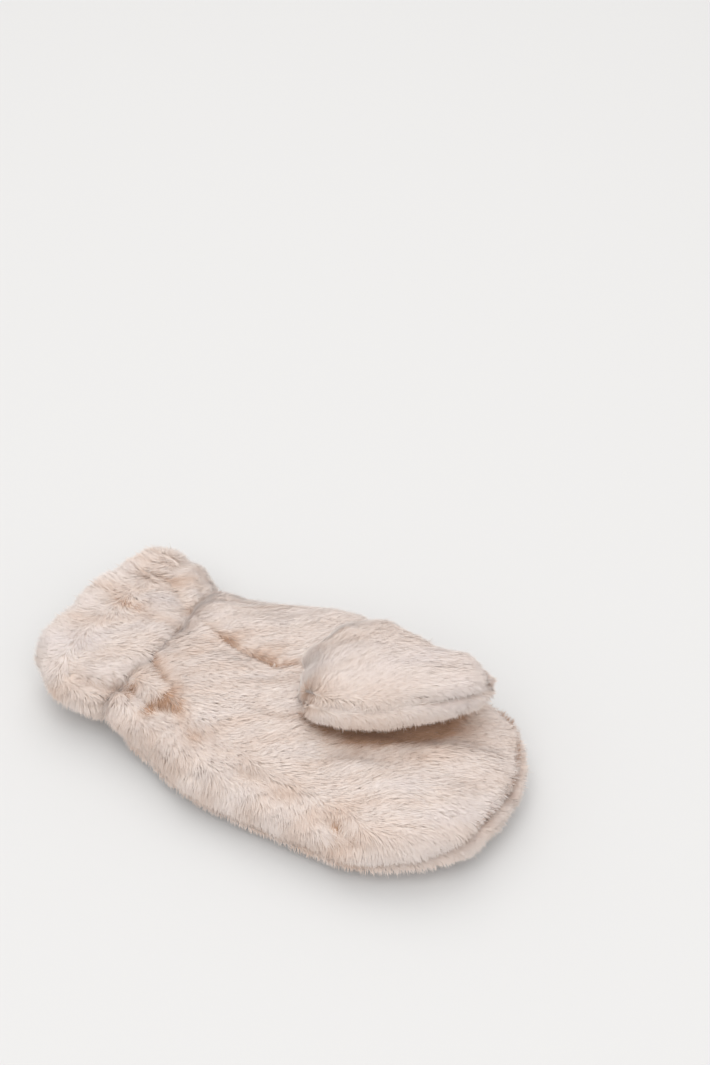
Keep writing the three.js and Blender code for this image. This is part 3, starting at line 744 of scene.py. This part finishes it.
def root_heights(piece, points, place, rng):
    """How far each root stands over the plain surface, less than 0 under it."""
    depth = ROOT["depth"] * (ROOT["closed_in"] + (1 - ROOT["closed_in"]) * place["open"])
    height = relief(points, piece["seed"]) - depth + rng.normal(0, ROOT["spread"], len(points))
    return height - piece["tuck"] * place["near_edge"]


def leaves(root, tip, shown, rng):
    """The four places of each strand, and the arrow across it."""
    run = unit(tip - root)
    across = unit(np.cross(run, shown))
    up = np.cross(across, run)
    half = across * (STRAND_WIDTH / 2 * rng.uniform(*WIDTH_SPREAD, len(root)))[:, None]
    widest = root + (tip - root) * MID_SHARE - up * RIDGE
    places = np.stack([root, widest - half, widest + half, tip], axis=1)
    places[:, :, 2] = np.maximum(places[:, :, 2], FLOOR_CLEAR / 2)
    return places, across


def shaded(shown, across, edge):
    """The normals that the four places of each strand are shaded with."""
    upright = 1 - EDGE_FLATTEN * smooth(*FLATTENED, edge)
    shade = unit(shown * np.stack([np.ones_like(edge), np.ones_like(edge), upright], axis=1))
    turned = ROUNDNESS * across
    return np.stack([shade, unit(shade - turned), unit(shade + turned), shade], axis=1).reshape(-1, 3)


def toned(piece, points, sees, own, place, rng):
    """Each strand's tone, with painted shade where little sky is seen, on the near sides and under the thumb.
    """
    tone = TONE["plain"] + TONE["patches"] * drift(points, PATCHES["size"], PATCHES["seed"])
    tone += TONE["streaks"] * streaks(points, STREAKS["seed"]) + TONE["tuft"] * (own[:, 2] - 0.5)
    tone += rng.normal(0, TONE["spread"], len(points)) - creased(points, "roots")
    # The near edge adds painted shade, darker on the sides that face -Y
    for what in ("parted", "past_seam", "near_edge"):
        tone += TONE[what] * place[what]
    # Painted shade: darker and more tan where the strand sees little of the sky
    tone -= piece["shade"] * (1 - smooth(*PAINTED_SHADE_OPEN, sees))
    # Painted shade under the thumb: the palm's strands browner where the thumb hides the sky
    if piece["node"] == PAINTED_SHADE_UNDER_THUMB["node"]:
        under = smooth(*PAINTED_SHADE_UNDER_THUMB["x"], points[:, 0]) * (1 - smooth(*PAINTED_SHADE_UNDER_THUMB["open"], sees))
        tone -= PAINTED_SHADE_UNDER_THUMB["strength"] * under
    return np.clip(tone, *TONE_ENDS)


def leaning(normals, flat, degrees):
    """Arrows that rise from the surface by an angle."""
    turns = np.radians(degrees)[:, None]
    return normals * np.sin(turns) + flat * np.cos(turns)


def furry_mesh(piece, skin):
    """One mesh: the skin drawn in under the pile, and the strands."""
    places, shading, tone = pile(piece, skin)
    depth = SKIN_DEPTH * smooth(*SKIN_OPEN, skin["open"]) - relief(skin["places"], piece["seed"])
    depth += CREASE_SHARE * creased(skin["places"], "deep", CREASE_SPREAD)
    depth += piece["tuck"] * smooth(*NEAR_EDGE, -skin["normals"][:, 1])
    under = skin["places"] - skin["normals"] * depth[:, None]
    under[:, 2] = np.maximum(under[:, 2], 2 * FLOOR_CLEAR)
    count = len(places)
    first = len(under)
    leaf = np.array([[0, 2, 3], [0, 3, 1]])
    strands = (first + 4 * np.arange(count)[:, None, None] + leaf[None]).reshape(-1, 3)
    corners = np.concatenate([skin["triangles"], strands])
    every = np.concatenate([under, places.reshape(-1, 3)])
    mesh = bpy.data.meshes.new(piece["name"])
    mesh.vertices.add(len(every))
    mesh.vertices.foreach_set("co", every.astype(np.float32).ravel())
    mesh.loops.add(corners.size)
    mesh.loops.foreach_set("vertex_index", corners.astype(np.int32).ravel())
    mesh.polygons.add(len(corners))
    mesh.polygons.foreach_set("loop_start", np.arange(0, corners.size, 3, dtype=np.int32))
    mesh.update(calc_edges=True)
    mesh.polygons.foreach_set("use_smooth", np.ones(len(corners), bool))
    # The skin's tone, darkened by painted shade where it sees little of the sky
    skin_tone = SKIN_TONE - SKIN_PAINTED_SHADE * piece["shade"] * (1 - smooth(*PAINTED_SHADE_OPEN, skin["open"]))
    along = np.tile([0.0, MID_SHARE, MID_SHARE, 1.0], count)
    write_number(mesh, "tone", np.concatenate([skin_tone, np.repeat(tone, 4)]))
    write_number(mesh, "along", np.concatenate([np.full(first, SKIN_ALONG), along]))
    write_bake_map(mesh, corners, skin_tone, tone, first)
    mesh.normals_split_custom_set_from_vertices(np.concatenate([skin["normals"], shading]))
    return mesh


def write_number(mesh, name, values):
    mesh.attributes.new(name, "FLOAT", "POINT").data.foreach_set("value", values.astype(np.float32))


def write_bake_map(mesh, corners, skin_tone, tone, first):
    """A map with tone from left to right and the way along a strand from bottom to top."""
    across = MAP_WIDE * np.array([0, -1, 1, 0])
    tones = np.concatenate([skin_tone, (tone[:, None] + across).ravel()])
    ways = np.concatenate([np.full(first, SKIN_ALONG), np.tile([0.0, MID_SHARE, MID_SHARE, 1.0], len(tone))])
    u = tones[corners]
    v = ways[corners]
    on_skin = (corners < first).all(axis=1)
    u[on_skin] += np.array([[0.0, MAP_WIDE, 0.0]])
    v[on_skin] += np.array([[0.0, 0.0, MAP_FOOT]])
    layer = mesh.uv_layers.new(name="OFBake")
    v = MAP_FOOT + (1 - 2 * MAP_FOOT) * v
    pairs = np.stack([np.clip(u, *MAP_ENDS), np.clip(v, *MAP_ENDS)], axis=-1)
    layer.data.foreach_set("uv", pairs.astype(np.float32).ravel())


def fur_material(name, roots, tips):
    """Colour from the strand's tone, darker and warmer to its root, with a soft sheen."""
    material = bpy.data.materials.new(name)
    material.use_nodes = True
    nodes, links = material.node_tree.nodes, material.node_tree.links
    shader = nodes["Principled BSDF"]
    tone = nodes.new("ShaderNodeAttribute")
    tone.attribute_name = "tone"
    along = nodes.new("ShaderNodeAttribute")
    along.attribute_name = "along"
    root_ramp = ramp(nodes, links, tone.outputs["Fac"], roots)
    tip_ramp = ramp(nodes, links, tone.outputs["Fac"], tips)
    way = nodes.new("ShaderNodeMapRange")
    way.interpolation_type = "SMOOTHSTEP"
    way.inputs["From Min"].default_value = TIPS_FROM
    way.inputs["From Max"].default_value = TIPS_WHOLE
    links.new(along.outputs["Fac"], way.inputs["Value"])
    blend = nodes.new("ShaderNodeMix")
    blend.data_type = "RGBA"
    links.new(way.outputs["Result"], blend.inputs["Factor"])
    links.new(root_ramp, blend.inputs["A"])
    links.new(tip_ramp, blend.inputs["B"])
    links.new(blend.outputs["Result"], shader.inputs["Base Color"])
    shader.inputs["Roughness"].default_value = 0.72
    shader.inputs["Specular IOR Level"].default_value = 0.25
    shader.inputs["Sheen Weight"].default_value = 0.9
    shader.inputs["Sheen Roughness"].default_value = 0.38
    shader.inputs["Sheen Tint"].default_value = (1.0, 0.95, 0.93, 1.0)
    return material


def ramp(nodes, links, value, stops):
    """A colour output that runs through (place, colour) stops."""
    node = nodes.new("ShaderNodeValToRGB")
    elements = node.color_ramp.elements
    elements[0].position, elements[1].position = stops[0][0], stops[-1][0]
    elements[0].color, elements[1].color = (*stops[0][1], 1), (*stops[-1][1], 1)
    for place, colour in stops[1:-1]:
        elements.new(place).color = (*colour, 1)
    links.new(value, node.inputs["Fac"])
    return node.outputs["Color"]


def add_piece(piece, walls, material):
    """One piece of fur in the place of its plain solid."""
    skin = surface(piece["node"], walls)
    shown = bpy.data.objects.new(piece["name"], furry_mesh(piece, skin))
    bpy.context.scene.collection.objects.link(shown)
    shown.data.materials.append(material)
    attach(shown, "root")
    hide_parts(piece["node"])


def add_floor():
    form = bmesh.new()
    bmesh.ops.create_grid(form, x_segments=1, y_segments=1, size=FLOOR_HALF)
    mesh = bpy.data.meshes.new("floor")
    form.to_mesh(mesh)
    form.free()
    floor = bpy.data.objects.new("floor", mesh)
    bpy.context.scene.collection.objects.link(floor)
    material = bpy.data.materials.new("pale_table")
    material.use_nodes = True
    shader = material.node_tree.nodes["Principled BSDF"]
    shader.inputs["Base Color"].default_value = (*FLOOR_COLOUR, 1)
    shader.inputs["Roughness"].default_value = 0.9
    shader.inputs["Specular IOR Level"].default_value = 0.1
    mesh.materials.append(material)


def seen_from(turn, pitch, distance, middle):
    """A place that looks at middle from a turn about Z and a height angle."""
    flat = math.cos(pitch) * distance
    return middle + Vector((math.sin(turn) * flat, -math.cos(turn) * flat, math.sin(pitch) * distance))


def looking(place, middle):
    """The turn of a lamp or a camera that looks from a place at middle."""
    return (middle - place).to_track_quat("-Z", "Y").to_matrix().to_4x4()


def add_lamp(lamp):
    """A round area lamp that looks at the mitten."""
    data = bpy.data.lights.new(lamp["name"], "AREA")
    data.shape = "DISK"
    data.size = lamp["size"]
    data.energy = lamp["power"]
    data.color = lamp["colour"]
    light = bpy.data.objects.new(lamp["name"], data)
    middle = Vector((0, 0, 0))
    turn = VIEW_TURN + math.radians(lamp["turn"])
    place = seen_from(turn, math.radians(lamp["height"]), lamp["away"], middle)
    light.matrix_world = Matrix.Translation(place) @ looking(place, middle)
    bpy.context.scene.collection.objects.link(light)


def add_room_light():
    world = bpy.data.worlds.new("pale_room")
    world.use_nodes = True
    background = world.node_tree.nodes["Background"]
    background.inputs["Color"].default_value = (*ROOM["colour"], 1)
    background.inputs["Strength"].default_value = ROOM["strength"]
    bpy.context.scene.world = world


def add_camera():
    data = bpy.data.cameras.new("photo_view")
    data.lens = LENS
    data.sensor_width = SENSOR
    data.sensor_fit = "AUTO"
    camera = bpy.data.objects.new("photo_view", data)
    place = seen_from(VIEW_TURN, VIEW_PITCH, VIEW_DISTANCE, VIEW_MIDDLE)
    camera.matrix_world = Matrix.Translation(place) @ looking(place, VIEW_MIDDLE)
    bpy.context.scene.collection.objects.link(camera)
    bpy.context.scene.camera = camera


bpy.context.scene.view_settings.view_transform = "Standard"
add_camera()
add_room_light()
for lamp in LAMPS:
    add_lamp(lamp)
add_floor()

fur = fur_material("plush_fur", ROOTS, TIPS)
walls = all_walls()
for piece in PIECES:
    add_piece(piece, walls, fur)
